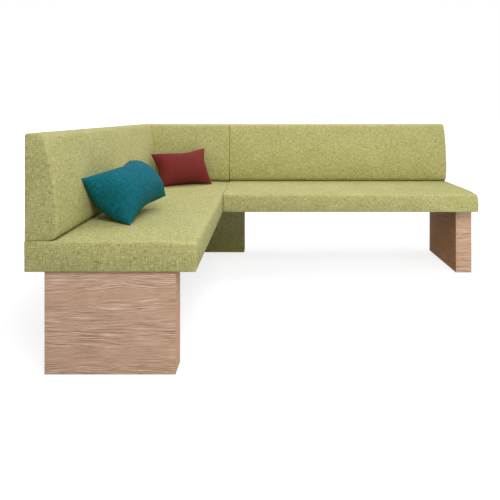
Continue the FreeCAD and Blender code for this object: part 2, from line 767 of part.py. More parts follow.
all_bolts, all_inserts, all_glides = [], [], []
for name, unit, start, spots in (
        ("left", left_unit, s.leg_end_inset, left_leg_spots),
        ("right", right_unit, right_length - s.leg_end_inset - s.leg_thickness, right_leg_spots)):
    bottom, top = leg(name, unit, start)
    group(f"{name}_leg_blocks", [bottom, cut(f"{name}_top_block", top, *sockets(name, unit, spots))])
    bolts, inserts = bolts_and_inserts(name, unit, spots)
    all_bolts += bolts
    all_inserts += inserts
    middle = start + s.leg_thickness / 2
    all_glides += glides(name, unit, [
        (leg_back + s.glide_inset, middle), (leg_back + s.leg_width - s.glide_inset, middle)])
corner_foot(sockets("foot", corner_unit, foot_spots))
bolts, inserts = bolts_and_inserts("foot", corner_unit, foot_spots)
group("leg_bolts", all_bolts + bolts)
group("leg_inserts", all_inserts + inserts)
foot_middle = s.foot_setback + s.foot_thickness / 2
group("floor_glides", all_glides + glides("foot", corner_unit, [(foot_middle, b) for b in post_middles]))

pillow("teal", left_x + s.back_base_thickness + s.teal_pillow_off_back,
       front_y + s.teal_pillow_from_front)
pillow("red", left_x + s.back_base_thickness + s.red_pillow_off_back,
       rear_y - s.back_base_thickness - s.red_pillow_off_rear)

doc.recompute()

# Every object has to be sound before anything is written.
for item in doc.Objects:
    if "Invalid" in item.State or "Error" in item.State:
        raise RuntimeError(f"{item.Label} failed: {item.State}")
for item in parts:
    if item.Shape.isNull() or not item.Shape.isValid() or not item.Shape.Solids:
        raise RuntimeError(f"{item.Label} has no sound solid")

os.makedirs("parts", exist_ok=True)
for item in parts:
    item.Shape.exportStep(os.path.join("parts", f"{item.Label}.step"))
print(f"{len(parts)} sub-parts written")
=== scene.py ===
"""Corner bench sofa: two fabric seats, three wedge backs, oak panel legs, a covered foot
and two loose pillows. Lengths are in metres."""

import math

import bpy
import numpy as np
from mathutils import Matrix, Vector
from mathutils.bvhtree import BVHTree


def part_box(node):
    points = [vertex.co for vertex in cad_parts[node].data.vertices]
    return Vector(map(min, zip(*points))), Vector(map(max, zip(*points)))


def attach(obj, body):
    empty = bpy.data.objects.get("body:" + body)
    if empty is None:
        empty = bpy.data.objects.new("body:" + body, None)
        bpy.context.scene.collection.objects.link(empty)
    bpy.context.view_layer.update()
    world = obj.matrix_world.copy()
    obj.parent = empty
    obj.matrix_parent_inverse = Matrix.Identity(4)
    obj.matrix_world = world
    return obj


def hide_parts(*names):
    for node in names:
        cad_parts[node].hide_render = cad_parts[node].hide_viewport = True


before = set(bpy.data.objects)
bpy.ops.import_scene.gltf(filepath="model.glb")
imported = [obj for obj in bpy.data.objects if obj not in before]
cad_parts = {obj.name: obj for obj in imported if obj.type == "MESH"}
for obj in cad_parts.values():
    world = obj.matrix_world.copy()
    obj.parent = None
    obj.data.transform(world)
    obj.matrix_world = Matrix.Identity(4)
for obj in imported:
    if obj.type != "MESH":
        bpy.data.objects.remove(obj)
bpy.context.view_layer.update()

# Camera: level one-point view, shifted in its frame. Image values are in pixels, the sensor in millimetres
IMAGE_SIDE = 500
FOCAL_LENGTH = 492.0
VANISHING_POINT = (266.7, 114.1)
VIEW_POINT = (-0.1769, -2.6199, 0.9446)
SENSOR_WIDTH = 36.0

# Skins: grid step between the edges, and where grid lines lie within a rounded edge
GRID_STEP = 0.016
EDGE_LINES = (0, 0.04, 0.1, 0.18, 0.29, 0.44, 0.66, 1)

# Heights over which an edge radius changes: from the underside, and from the top
LOW_ZONE = (0.07, 0.03)
TOP_ZONE = (0.05, 0.02)

# Radius of an edge where two covers meet
JOINT_EDGE = 0.0025

# Seats: radii of the edges
SEAT_TOP_EDGE = 0.008
SEAT_FRONT_EDGE = 0.018
SEAT_WALL_EDGE = 0.0015
SEAT_SIDE_EDGE = 0.003
SEAT_LOW_EDGE = 0.003

# Seats: distances from the wall and from the front over which the top edge changes
SEAT_WALL_ZONE = (0.05, 0.12)
SEAT_FRONT_ZONE = (0.10, 0.03)

# Seats: edge radius where they meet, and the distances past the joint and from the wall it holds for
SEAT_JOINTS = {
    "left": {"edge": JOINT_EDGE, "along": (-0.02, 0.05), "deep": (0.5, 0.6)},
    "right": {"edge": SEAT_TOP_EDGE, "along": (0.06, 0.02), "deep": (0.4, 0.5)},
}

# Seats: crown of the top, and bulge of the front and the free end, which fades towards edges and joint
SEAT_CROWN = 0.005
SEAT_BULGE = 0.005
BULGE_FADE = 6
BULGE_ZONE = (0.03, 0.004)
BULGE_STOP = (0.03, 0.12)

# Seats: the underside lies higher inside the rim that the fabric wraps round
UNDER_LIFT = 0.004
UNDER_SHARE = 0.05
WRAP_ZONE = (0.046, 0.066)

# Backs: thickness below and above, bow of the front, and rise of the padded top
BACK_BASE = 0.118
BACK_TOP = 0.066
BACK_BOW = 0.017
BACK_RISE = 0.005

# Backs: radii of the edges, and how much further the low front edge reaches back
BACK_TOP_EDGE = 0.020
BACK_REAR_EDGE = 0.010
BACK_SIDE_EDGE = 0.008
BACK_LOW_EDGE = 0.030
BACK_WALL_EDGE = 0.004
BACK_LOW_REACH = 1.3
BACK_FRONT_ZONE = (0.03, 0.07)
BACK_END_ZONE = (0.05, 0.012)

# Backs: the mitre's edge, and how far the covers fill the gap there
MITRE_EDGE = 0.0004
MITRE_FILL = 0.0038

# Backs: the rim stands clear of the seat in front and at a free end
BACK_LIFT = 0.0015
BACK_END_LIFT = 0.002
LIFT_ZONE = (0.045, 0.012)
LIFT_HEIGHT = 0.06
CROWN_FIT_HEIGHT = 0.08

# Corner foot: radii of its edges, and the heights between which they change
FOOT_EDGE = 0.011
FOOT_LOW_EDGE = 0.005
FOOT_EDGE_ZONE = (0.01, 0.05)

# Oak panel legs: board thickness, edge radius, grid step, and shift of the grain from board to board
BOARD = 0.022
BOARD_EDGE = 0.0013
BOARD_STEP = 0.05
BOARD_SHIFT = (0.7, 0.31)

# Maps that carry the weave and the grain, in metres, and where the weave starts on backs and foot
WEAVE_MAP = "Weave"
GRAIN_MAP = "Grain"
BACK_SHIFT = (0.37, 0.21)
FOOT_SHIFT = (0.11, 0.53)

# Painted shading: painted shade darkens the fabric low on the backs, fading at a free end; on the foot it
# goes from painted shade at the floor to painted light at its top
PAINTED_SHADING_NAME = "painted_shading"
PAINTED_SHADING_DEPTH = 0.07
BACK_PAINTED_SHADE_HEIGHT = 0.09
BACK_PAINTED_SHADE = {"left": 1.0, "corner": 1.3, "right": 1.9}
FREE_END = 0.03
FOOT_PAINTED_SHADE_AND_LIGHT = (3.8, -0.3)
FOOT_PAINTED_SHADING_HEIGHT = 0.2

# Weave: changes per metre of slubs and long threads, along and across themselves
COARSE_SLUB = (50, 320)
FINE_SLUB = (66, 720)
LONG_THREAD = (11, 430)

# Weave: changes per metre of the mottling, waver of the threads, and wave scale of one half wave per metre
MOTTLE_RATE = 30
PATCH_RATE = 6
THREAD_WAVER = 0.6
HALF_WAVE = math.pi / 20

# Weave: weights in the tone and in the relief, reach of the tones about their middle, tint of the fuzz
THREAD_TONE = 0.1
LONG_SHARE = 0.40
THREAD_RELIEF = 0.5
SLUB_RELIEF = 0.5
TONE_REACH = 0.24
SHEEN = (0.95, 0.92, 0.65)
SHEEN_ROUGHNESS = 0.5

# Oak: changes per metre along and across the grain
SWAY_RATE = (2.4, 6, 1)
RIPPLE_RATE = (8, 26, 1)
GROWTH_RATE = (4.5, 240, 1)
LINE_RATE = (9, 430, 1)
FIBRE_RATE = (34, 620, 1)
ZONE_RATE = (1.2, 14, 1)

# Oak: how far the lines sway and ripple, and how strong they are in calm and busy zones
SWAY_REACH = 0.05
RIPPLE_REACH = 0.012
ZONE_SPAN = (0.38, 0.62)
BUSY_SPAN = (0.45, 1.5)

# Oak: weights in the tone and in the relief, and shine
GROWTH_TONE = 0.9
LINE_TONE = 1.7
FIBRE_TONE = 0.6
ZONE_TONE = 0.05
GRAIN_RELIEF = 0.7
FIBRE_RELIEF = 0.3
OAK_SHINE = 0.12

# Oak: tones from the brown lines to the pale brushed streaks
OAK_STOPS = [
    (0.18, (0.40, 0.235, 0.145)),
    (0.42, (0.60, 0.385, 0.255)),
    (0.56, (0.69, 0.455, 0.315)),
    (0.70, (0.76, 0.54, 0.40)),
    (0.86, (0.88, 0.71, 0.57)),
]

# Plain materials: noise values between which two tones blend
TIMBER_SPAN = (0.3, 0.7)
STEEL_SPAN = (0.3, 0.7)
MATTED_SPAN = (0.35, 0.65)

# Plain materials: cloudiness per metre and darker tone of steel, and shine of matted cloth
STEEL_CLOUD = 90
STEEL_DARK = 0.8
MATTED_SHINE = 0.15


def set_camera():
    """Places the camera at the photograph's viewing point."""
    data = bpy.data.cameras.new("camera")
    data.sensor_width = SENSOR_WIDTH
    data.lens = FOCAL_LENGTH / IMAGE_SIDE * SENSOR_WIDTH
    data.shift_x = 0.5 - VANISHING_POINT[0] / IMAGE_SIDE
    data.shift_y = VANISHING_POINT[1] / IMAGE_SIDE - 0.5
    camera = bpy.data.objects.new("camera", data)
    camera.location = VIEW_POINT
    camera.rotation_euler = (math.pi / 2, 0, 0)
    bpy.context.scene.collection.objects.link(camera)
    bpy.context.scene.camera = camera


# Values that change over a surface

def smooth_step(value, start, end):
    """Goes softly from 0 at start to 1 at end."""
    share = np.clip((value - start) / (end - start), 0, 1)
    return share * share * (3 - 2 * share)


def between(first, second, share):
    """Goes from the first value to the second as share goes from 0 to 1."""
    return first + (second - first) * share


def arch(share):
    """Rises from 0 to 1 half way and falls back to 0."""
    return 4 * share * (1 - share)


# Mesh building

def spaced(length, edge, step):
    """Grid lines along one side: close together in the rounded edges, even between them."""
    fine = edge * np.array(EDGE_LINES)
    count = max(2, round((length - 2 * edge) / step))
    middle = np.linspace(edge, length - edge, count + 1)[1:-1]
    return np.concatenate([fine, middle, length - fine[::-1]])


def box_skin(size, edge, step=GRID_STEP):
    """Points and outward quads of a box's skin, on grid lines."""
    axes = [spaced(length, edge, step) for length in size]
    shape = [len(axis) for axis in axes]
    grid = np.stack(np.meshgrid(*axes, indexing="ij"), axis=-1)
    skin = np.ones(shape, bool)
    skin[1:-1, 1:-1, 1:-1] = False
    index = np.zeros(shape, int)
    index[skin] = np.arange(skin.sum())
    quads = []
    for axis in range(3):
        for end in (0, -1):
            sheet = np.take(index, end, axis=axis)
            outward = (axis != 1) == (end == -1)
            quads.append(sheet_quads(sheet, outward))
    return grid[skin], np.concatenate(quads)


def sheet_quads(sheet, outward):
    """Quads between the point numbers of a grid, turned round where they should face the other way."""
    corners = [sheet[:-1, :-1], sheet[1:, :-1], sheet[1:, 1:], sheet[:-1, 1:]]
    if not outward:
        corners = [corners[number] for number in (0, 3, 2, 1)]
    return np.stack(corners, axis=-1).reshape(-1, 4)


def rounded(points, size, radius):
    """Draws the points of a box's skin in to rounded edges, with a radius for each axis."""
    core = np.clip(points, radius, np.asarray(size) - radius)
    away = points - core
    return core + away / np.linalg.norm(away / radius, axis=1, keepdims=True)


def mesh_piece(name, points, faces):
    """Makes a smooth mesh object."""
    mesh = bpy.data.meshes.new(name)
    mesh.from_pydata(points.tolist(), [], faces.tolist())
    mesh.polygons.foreach_set("use_smooth", [True] * len(mesh.polygons))
    mesh.update()
    piece = bpy.data.objects.new(name, mesh)
    bpy.context.scene.collection.objects.link(piece)
    return piece


def points_of(mesh):
    """The mesh's points as an array."""
    flat = np.empty(len(mesh.vertices) * 3)
    mesh.vertices.foreach_get("co", flat)
    return flat.reshape(-1, 3)


def set_points(mesh, points):
    """Writes the points back into the mesh."""
    mesh.vertices.foreach_set("co", points.ravel())
    mesh.update()


def corner_points(mesh):
    """The point at each face corner of the mesh."""
    corners = np.empty(len(mesh.loops), int)
    mesh.loops.foreach_get("vertex_index", corners)
    return points_of(mesh)[corners]


def map_by_facing(piece, name, shift=(0.0, 0.0)):
    """Lays a map in metres on each face, along the two axes that the face runs in."""
    mesh = piece.data
    layer = mesh.uv_layers.new(name=name)
    normals = np.empty(len(mesh.polygons) * 3)
    mesh.polygons.foreach_get("normal", normals)
    counts = np.empty(len(mesh.polygons), int)
    mesh.polygons.foreach_get("loop_total", counts)
    facing = np.repeat(np.abs(normals.reshape(-1, 3)).argmax(axis=1), counts)
    places = corner_points(mesh)
    across = np.where(facing == 0, places[:, 1], places[:, 0])
    up = np.where(facing == 2, places[:, 1], places[:, 2])
    layer.data.foreach_set("uv", np.stack([across + shift[0], up + shift[1]], axis=1).ravel())


def map_flat(piece, name):
    """Keeps the flat cut of sewn panels as a map."""
    layer = piece.data.uv_layers.new(name=name)
    layer.data.foreach_set("uv", corner_points(piece.data)[:, :2].ravel())


def set_painted_shading(piece, values):
    """Stores the painted shading at each point: how much darker the fabric is painted, or lighter where the
    value is negative.
    """
    painted_shading_amount = piece.data.attributes.new(PAINTED_SHADING_NAME, "FLOAT", "POINT")
    painted_shading_amount.data.foreach_set("value", values)


def subdivide(piece):
    """One subdivision, as a modifier."""
    finer = piece.modifiers.new("finer", "SUBSURF")
    finer.levels = 1
    finer.render_levels = 1


# Node helpers

def new_material(name):
    """An empty node material with its shader."""
    material = bpy.data.materials.new(name)
    material.use_nodes = True
    shader = material.node_tree.nodes["Principled BSDF"]
    return material, material.node_tree, shader


def node(tree, kind, inputs=None, **settings):
    """Adds a node, sets it up and connects or fills its inputs."""
    made = tree.nodes.new("ShaderNode" + kind)
    for key, value in settings.items():
        setattr(made, key, value)
    for socket, value in (inputs or {}).items():
        if isinstance(value, bpy.types.NodeSocket):
            tree.links.new(value, made.inputs[socket])
        else:
            made.inputs[socket].default_value = value
    return made


def math_node(tree, operation, first, second=0.0, third=0.0):
    """One arithmetic step."""
    return node(tree, "Math", {0: first, 1: second, 2: third}, operation=operation).outputs[0]


def object_place(tree):
    """The place on the object itself."""
    return node(tree, "TexCoord").outputs["Object"]


def stretched(tree, place, scale):
    """Coordinates scaled apart along their axes."""
    return node(tree, "Mapping", {"Vector": place, "Scale": scale}).outputs[0]


def noise(tree, place, scale=1.0, detail=2.0, roughness=0.5, distortion=0.0):
    """A noise value."""
    inputs = {
        "Vector": place,
        "Scale": scale,
        "Detail": detail,
        "Roughness": roughness,
        "Distortion": distortion,
    }
    return node(tree, "TexNoise", inputs).outputs["Fac"]


def map_range(tree, value, start, end, **settings):
    """Takes a value from the span at start to the span at end."""
    inputs = {
        "Value": value,
        "From Min": start[0],
        "From Max": start[1],
        "To Min": end[0],
        "To Max": end[1],
    }
    return node(tree, "MapRange", inputs, **settings).outputs[0]


def ramp(tree, value, stops):
    """A colour ramp from (position, colour) stops."""
    made = node(tree, "ValToRGB", {"Fac": value})
    elements = made.color_ramp.elements
    while len(elements) < len(stops):
        elements.new(0.5)
    for element, (position, colour) in zip(elements, stops):
        element.position = position
        element.color = (*colour, 1)
    return made.outputs["Color"]


def total(tree, *terms):
    """Adds up (value, weight) terms."""
    value = 0.0
    for term, weight in terms:
        value = math_node(tree, "MULTIPLY_ADD", term, weight, value)
    return value


def around_half(tree, *terms):
    """Adds up (value, weight) terms so that values of a half give a half."""
    return math_node(tree, "ADD", total(tree, *terms), 0.5 - sum(weight for _, weight in terms) / 2)


def set_colour(tree, shader, value, stops):
    """Colours the surface by a ramp."""
    tree.links.new(ramp(tree, value, stops), shader.inputs["Base Color"])


def set_relief(tree, shader, height, distance, strength):
    """Gives the surface a fine relief, distance deep."""
    inputs = {"Height": height, "Distance": distance, "Strength": strength}
    tree.links.new(node(tree, "Bump", inputs).outputs[0], shader.inputs["Normal"])


def set_rough(tree, shader, value, least, swing):
    """Roughness that rises from its least by swing times a value."""
    rough = math_node(tree, "MULTIPLY_ADD", value, swing, least)
    tree.links.new(rough, shader.inputs["Roughness"])


# Materials

def plain_weave(tree, place, count):
    """Threads that cross over and under each other, count to the metre."""
    waves = []
    for direction in ("X", "Y"):
        inputs = {"Vector": place, "Scale": count * HALF_WAVE, "Distortion": THREAD_WAVER}
        waves.append(node(tree, "TexWave", inputs, bands_direction=direction).outputs["Fac"])
    over = node(tree, "TexChecker", {"Vector": place, "Scale": count}).outputs["Fac"]
    return node(tree, "Mix", {"Factor": over, "A": waves[0], "B": waves[1]}).outputs[0]


def crossing(tree, place, rate, **settings):
    """Long streaks of noise both ways of the weave."""
    along = noise(tree, stretched(tree, place, (rate[0], rate[1], 1)), **settings)
    upright = noise(tree, stretched(tree, place, (rate[1], rate[0], 1)), **settings)
    return along, upright


def woven(name, dark, middle, light, yarn, slub, fleck, cloud, fuzz, shine):
    """Plain weave with slubs both ways, a faint mottling and a little fuzz."""
    material, tree, shader = new_material(name)
    place = node(tree, "UVMap", uv_map=WEAVE_MAP).outputs[0]
    threads = plain_weave(tree, place, 1 / yarn)
    slub_along, slub_up = crossing(tree, place, slub, detail=2, roughness=0.7)
    long_along, long_up = crossing(tree, place, LONG_THREAD, detail=1)
    mottle = noise(tree, place, scale=MOTTLE_RATE, detail=3, roughness=0.6)
    patch = noise(tree, place, scale=PATCH_RATE, detail=2)
    painted_shading_amount = node(tree, "Attribute", attribute_name=PAINTED_SHADING_NAME).outputs["Fac"]
    tone = around_half(
        tree, (threads, THREAD_TONE), (slub_along, fleck), (slub_up, fleck),
        (long_along, fleck * LONG_SHARE), (long_up, fleck * LONG_SHARE), (mottle, cloud), (patch, cloud))
    # Painted shading: the tone goes darker by the stored painted shade, and lighter where the value is
    # negative, which is painted light
    tone = math_node(tree, "MULTIPLY_ADD", painted_shading_amount, -PAINTED_SHADING_DEPTH, tone)
    set_colour(tree, shader, tone, [(0.5 - TONE_REACH, dark), (0.5, middle), (0.5 + TONE_REACH, light)])
    height = total(tree, (threads, THREAD_RELIEF), (slub_along, SLUB_RELIEF), (slub_up, SLUB_RELIEF))
    set_relief(tree, shader, height, distance=0.0006, strength=0.7)
    set_rough(tree, shader, mottle, least=0.8, swing=0.15)
    shader.inputs["Specular IOR Level"].default_value = shine
    shader.inputs["Sheen Weight"].default_value = fuzz
    shader.inputs["Sheen Roughness"].default_value = SHEEN_ROUGHNESS
    shader.inputs["Sheen Tint"].default_value = (*SHEEN, 1)
    return material


def oak(name, tint):
    """Brushed light oak: close growth lines with a slight sway, brown lines and pale streaks."""
    material, tree, shader = new_material(name)
    place = node(tree, "UVMap", uv_map=GRAIN_MAP).outputs[0]
    parts = node(tree, "SeparateXYZ", {0: place})
    sway = noise(tree, stretched(tree, place, SWAY_RATE), detail=1)
    ripple = noise(tree, stretched(tree, place, RIPPLE_RATE), detail=1)
    bend = total(tree, (sway, SWAY_REACH), (ripple, RIPPLE_REACH), (parts.outputs["Y"], 1.0))
    bent = node(tree, "CombineXYZ", {"X": parts.outputs["X"], "Y": bend}).outputs[0]
    growth = noise(tree, stretched(tree, bent, GROWTH_RATE), detail=2, roughness=0.6)
    lines = noise(tree, stretched(tree, bent, LINE_RATE), detail=2, roughness=0.6)
    fibre = noise(tree, stretched(tree, bent, FIBRE_RATE), detail=2)
    zone = noise(tree, stretched(tree, bent, ZONE_RATE), detail=2)
    busy = map_range(tree, zone, ZONE_SPAN, BUSY_SPAN)
    grain = around_half(tree, (growth, GROWTH_TONE), (lines, LINE_TONE))
    swing = math_node(tree, "MULTIPLY", math_node(tree, "SUBTRACT", grain, 0.5), busy)
    tone = math_node(tree, "ADD", swing, around_half(tree, (fibre, FIBRE_TONE), (zone, ZONE_TONE)))
    stops = [(position, np.multiply(colour, tint)) for position, colour in OAK_STOPS]
    set_colour(tree, shader, tone, stops)
    relief = total(tree, (grain, GRAIN_RELIEF), (fibre, FIBRE_RELIEF))
    set_relief(tree, shader, relief, distance=0.0007, strength=0.6)
    set_rough(tree, shader, fibre, least=0.5, swing=0.2)
    shader.inputs["Specular IOR Level"].default_value = OAK_SHINE
    return material


def frame_stock(name, dark, light, along, across):
    """Plain timber or board inside the bench."""
    material, tree, shader = new_material(name)
    place = stretched(tree, object_place(tree), (along, across, across))
    grain = noise(tree, place, detail=3, roughness=0.6)
    set_colour(tree, shader, grain, list(zip(TIMBER_SPAN, (dark, light))))
    set_relief(tree, shader, grain, distance=0.0004, strength=0.5)
    set_rough(tree, shader, grain, least=0.55, swing=0.2)
    return material


def metal(name, tint, rough):
    """Plated steel with a faint cloudy finish."""
    material, tree, shader = new_material(name)
    cloud = noise(tree, object_place(tree), scale=STEEL_CLOUD, detail=4)
    dark = np.multiply(tint, STEEL_DARK)
    set_colour(tree, shader, cloud, list(zip(STEEL_SPAN, (dark, tint))))
    set_relief(tree, shader, cloud, distance=0.0001, strength=0.3)
    set_rough(tree, shader, cloud, least=rough, swing=0.2)
    shader.inputs["Metallic"].default_value = 1.0
    return material


def matted(name, dark, light, scale):
    """Felt, foam or pressed cloth: a fine tangle of fibres."""
    material, tree, shader = new_material(name)
    tangle = noise(tree, object_place(tree), scale=scale, detail=5, roughness=0.7, distortion=0.6)
    set_colour(tree, shader, tangle, list(zip(MATTED_SPAN, (dark, light))))
    set_relief(tree, shader, tangle, distance=0.0006, strength=0.6)
    set_rough(tree, shader, tangle, least=0.85, swing=0.1)
    shader.inputs["Specular IOR Level"].default_value = MATTED_SHINE
    return material


GREEN = woven(
    "green_fabric", dark=(0.27, 0.255, 0.06), middle=(0.50, 0.475, 0.185), light=(0.68, 0.655, 0.35),
    yarn=0.0016, slub=COARSE_SLUB, fleck=0.78, cloud=0.12, fuzz=0.10, shine=0.08)
TEAL = woven(
    "teal_fabric", dark=(0.001, 0.052, 0.072), middle=(0.001, 0.117, 0.155), light=(0.009, 0.22, 0.27),
    yarn=0.0015, slub=FINE_SLUB, fleck=0.75, cloud=0.08, fuzz=0.0, shine=0.2)
RED = woven(
    "red_fabric", dark=(0.12, 0.013, 0.012), middle=(0.18, 0.022, 0.019), light=(0.24, 0.034, 0.030),
    yarn=0.0010, slub=FINE_SLUB, fleck=0.4, cloud=0.05, fuzz=0.03, shine=0.2)
OAK = oak("oak", tint=(1.0, 0.99, 0.985))
# Copies of the oak with painted light and shade for single boards: a warmer painted light for the left leg's
# outer side, a painted light tone for the right leg's front edge, and painted shade for the right leg's inner
# face
OAK_PAINTED_WARM_LIGHT = oak("oak_painted_warm_light", tint=(1.08, 0.98, 0.89))
OAK_PAINTED_LIGHT_TONE = oak("oak_painted_light_tone", tint=(0.96, 0.94, 0.90))
OAK_PAINTED_SHADE = oak("oak_painted_shade", tint=(0.79, 0.58, 0.34))


def dress(piece, body, slot, material, *nodes):
    """Hangs a piece on its body, in place of the nodes it stands for."""
    piece.data.materials.clear()
    piece.data.materials.append(material)
    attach(piece, body)
    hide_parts(*nodes)


# Upholstered slabs

def wing_place(points, low, high, turned):
    """Sets points given as depth, length and height into the short wing or, turned, the long wing."""
    depth, along, up = points.T
    if turned:
        return np.stack([low[0] + along, high[1] - depth, low[2] + up], axis=1)
    return np.stack([low[0] + depth, low[1] + along, low[2] + up], axis=1)


def edge_radius(up, height, low, side, top):
    """The edge radius at each height: low edge, upright edges, top edge."""
    to_low = smooth_step(up, *LOW_ZONE)
    to_top = smooth_step(height - up, *TOP_ZONE)
    return side + (low - side) * to_low + (top - side) * to_top


def crown_drop(share):
    """How far a seat's top falls towards its front, at a share of its depth from the wall."""
    return SEAT_CROWN * np.clip(2 * share - 1, 0, 1) ** 2


def seat_radius(skin, size, joint, past_joint):
    """Edge radius over a seat: crisp below and by the wall, softer above and softest in front."""
    depth = skin[:, 0]
    up = skin[:, 2]
    top_edge = between(SEAT_WALL_EDGE, SEAT_TOP_EDGE, smooth_step(depth, *SEAT_WALL_ZONE))
    top_edge += (SEAT_FRONT_EDGE - SEAT_TOP_EDGE) * smooth_step(size[0] - depth, *SEAT_FRONT_ZONE)
    radius = edge_radius(up, size[2], SEAT_LOW_EDGE, SEAT_SIDE_EDGE, top_edge)
    at_joint = smooth_step(past_joint, *joint["along"]) * smooth_step(depth, *joint["deep"])
    return between(radius, joint["edge"], at_joint)


def seat_swelling(points, size, turned, past_joint):
    """How far each point of a seat moves: crowned top, bulging front and free end, raised underside."""
    depth, along, up = points.T
    share = depth / size[0]
    level = up / size[2]
    from_end = size[1] - along if turned else along
    at_front = smooth_step(size[0] - depth, *BULGE_ZONE)
    if not turned:
        at_front = at_front * smooth_step(-past_joint, *BULGE_STOP)
    at_end = smooth_step(from_end, *BULGE_ZONE) * (1 - np.abs(2 * share - 1).clip(0, 1) ** BULGE_FADE)
    from_rim = np.minimum(points, size - points)[:, :2].min(axis=1)
    under = smooth_step(from_rim, *WRAP_ZONE) * smooth_step(level, UNDER_SHARE, 0)
    outward = SEAT_BULGE * arch(level)
    upward = level * (SEAT_CROWN - crown_drop(share)) + UNDER_LIFT * under
    return np.stack([outward * at_front, outward * at_end * (1 if turned else -1), upward], axis=1)


def seat(side, turned):
    """A seat slab: crisp below, softer above, slightly crowned over its depth."""
    low, high = (np.array(corner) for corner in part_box(side + "_seat_cover"))
    size = (high - low)[[1, 0, 2]] if turned else high - low
    size = size - (0, 0, SEAT_CROWN)
    skin, quads = box_skin(size, SEAT_FRONT_EDGE)
    joint_start = 0.0 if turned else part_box("right_seat_cover")[0][1] - low[1]
    past_joint = skin[:, 1] - joint_start
    radius = seat_radius(skin, size, SEAT_JOINTS[side], past_joint)
    points = rounded(skin, size, radius[:, None])
    points = points + seat_swelling(points, size, turned, past_joint)
    piece = mesh_piece(side + "_seat", wing_place(points, low, high, turned), quads)
    map_by_facing(piece, WEAVE_MAP)
    dress(piece, "bench", "green_fabric", GREEN, side + "_seat_cover", side + "_seat_foam")
    return piece


def back_thickness(level):
    """How thick a back is at each share of its height: a wedge with a bowed front."""
    return between(BACK_BASE, BACK_TOP, level) + BACK_BOW * arch(level)


def back_radii(skin, size, mitred_at, joint_at):
    """Edge radii over a back, for its depth, its length and its height."""
    depth, along, up = skin.T
    to_front = smooth_step(depth, *BACK_FRONT_ZONE)
    low_edge = between(BACK_WALL_EDGE, BACK_LOW_EDGE, to_front)
    top_edge = between(BACK_REAR_EDGE, BACK_TOP_EDGE, to_front)
    radius = edge_radius(up, size[2], low_edge, BACK_SIDE_EDGE, top_edge)
    deep_radius = radius * BACK_BASE / back_thickness(up / size[2])
    deep_radius *= between(1, BACK_LOW_REACH, to_front * smooth_step(up, *LOW_ZONE))
    end_radius = np.full(len(skin), BACK_SIDE_EDGE)
    for end, edge in ((mitred_at, MITRE_EDGE), (joint_at, JOINT_EDGE)):
        if end:
            reach = along if end == "low" else size[1] - along
            end_radius = between(end_radius, edge, smooth_step(reach, *BACK_END_ZONE))
    return np.stack([deep_radius, end_radius, radius], axis=1)


def from_free_end(along, length, held_ends):
    """The distance to the nearest end that no other back meets, or endless."""
    distance = np.full(len(along), np.inf)
    for end, reach in (("low", along), ("high", length - along)):
        if end not in held_ends:
            distance = np.minimum(distance, reach)
    return distance


def mitred(points, length, end):
    """Cuts the points of a back at 45 degrees at one end."""
    if end == "high":
        points[:, 1] *= 1 - points[:, 0] / length
    if end == "low":
        points[:, 1] = points[:, 0] + points[:, 1] * (1 - points[:, 0] / length)
    return points


def back(side, turned, mitred_at, joint_at):
    """A wedge back: upright by the wall, sloping and softly bowed in front, its rim clear of the seat."""
    low, high = (np.array(corner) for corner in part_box(side + "_back_cover"))
    if mitred_at == "high":
        high[1] += MITRE_FILL
    if mitred_at == "low":
        low[0] -= MITRE_FILL
    high[2] += BACK_RISE
    size = (high - low)[[1, 0, 2]] if turned else high - low
    size[0] = BACK_BASE
    skin, quads = box_skin(size, BACK_LOW_EDGE)
    depth, along, up = skin.T
    to_end = from_free_end(along, size[1], (mitred_at, joint_at))
    front_lift = BACK_LIFT * smooth_step(size[0] - depth, *LIFT_ZONE)
    end_lift = BACK_END_LIFT * smooth_step(to_end, *LIFT_ZONE)
    points = rounded(skin, size, back_radii(skin, size, mitred_at, joint_at))
    points[:, 2] += np.maximum(front_lift, end_lift) * smooth_step(up, LIFT_HEIGHT, 0)
    points[:, 0] *= back_thickness(points[:, 2] / size[2]) / BACK_BASE
    points = wing_place(mitred(points, size[1], mitred_at), low, high, turned)
    if side == "corner":
        seat_low, seat_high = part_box("left_seat_cover")
        share = (points[:, 0] - seat_low[0]) / (seat_high[0] - seat_low[0])
        points[:, 2] -= crown_drop(share) * smooth_step(up, CROWN_FIT_HEIGHT, 0)
    piece = mesh_piece(side + "_back", points, quads)
    map_by_facing(piece, WEAVE_MAP, BACK_SHIFT)
    # Painted shade: each back is painted darker towards the seat, by a different amount on each back, fading
    # out at a free end
    painted_shading = BACK_PAINTED_SHADE[side] * np.exp(-(points[:, 2] - low[2]).clip(0) / BACK_PAINTED_SHADE_HEIGHT)
    set_painted_shading(piece, painted_shading * smooth_step(to_end, 0, FREE_END))
    dress(piece, "bench", "green_fabric", GREEN, side + "_back_cover", side + "_back_foam")
    return piece


def corner_foot():
    """The fabric sleeve over the foot panel at the inner corner."""
    low, high = (np.array(corner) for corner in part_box("corner_foot_cover"))
    size = high - low
    skin, quads = box_skin(size, FOOT_EDGE)
    radius = between(FOOT_LOW_EDGE, FOOT_EDGE, smooth_step(skin[:, 2], *FOOT_EDGE_ZONE))
    points = rounded(skin, size, radius[:, None])
    piece = mesh_piece("corner_foot", points + low, quads)
    map_by_facing(piece, WEAVE_MAP, FOOT_SHIFT)
    # Painted shade and light: the sleeve is painted darker near the floor and lighter towards its top
    set_painted_shading(piece, np.interp(points[:, 2], (0, FOOT_PAINTED_SHADING_HEIGHT), FOOT_PAINTED_SHADE_AND_LIGHT))
    dress(piece, "bench", "green_fabric", GREEN, "corner_foot_cover")


# Oak panel legs

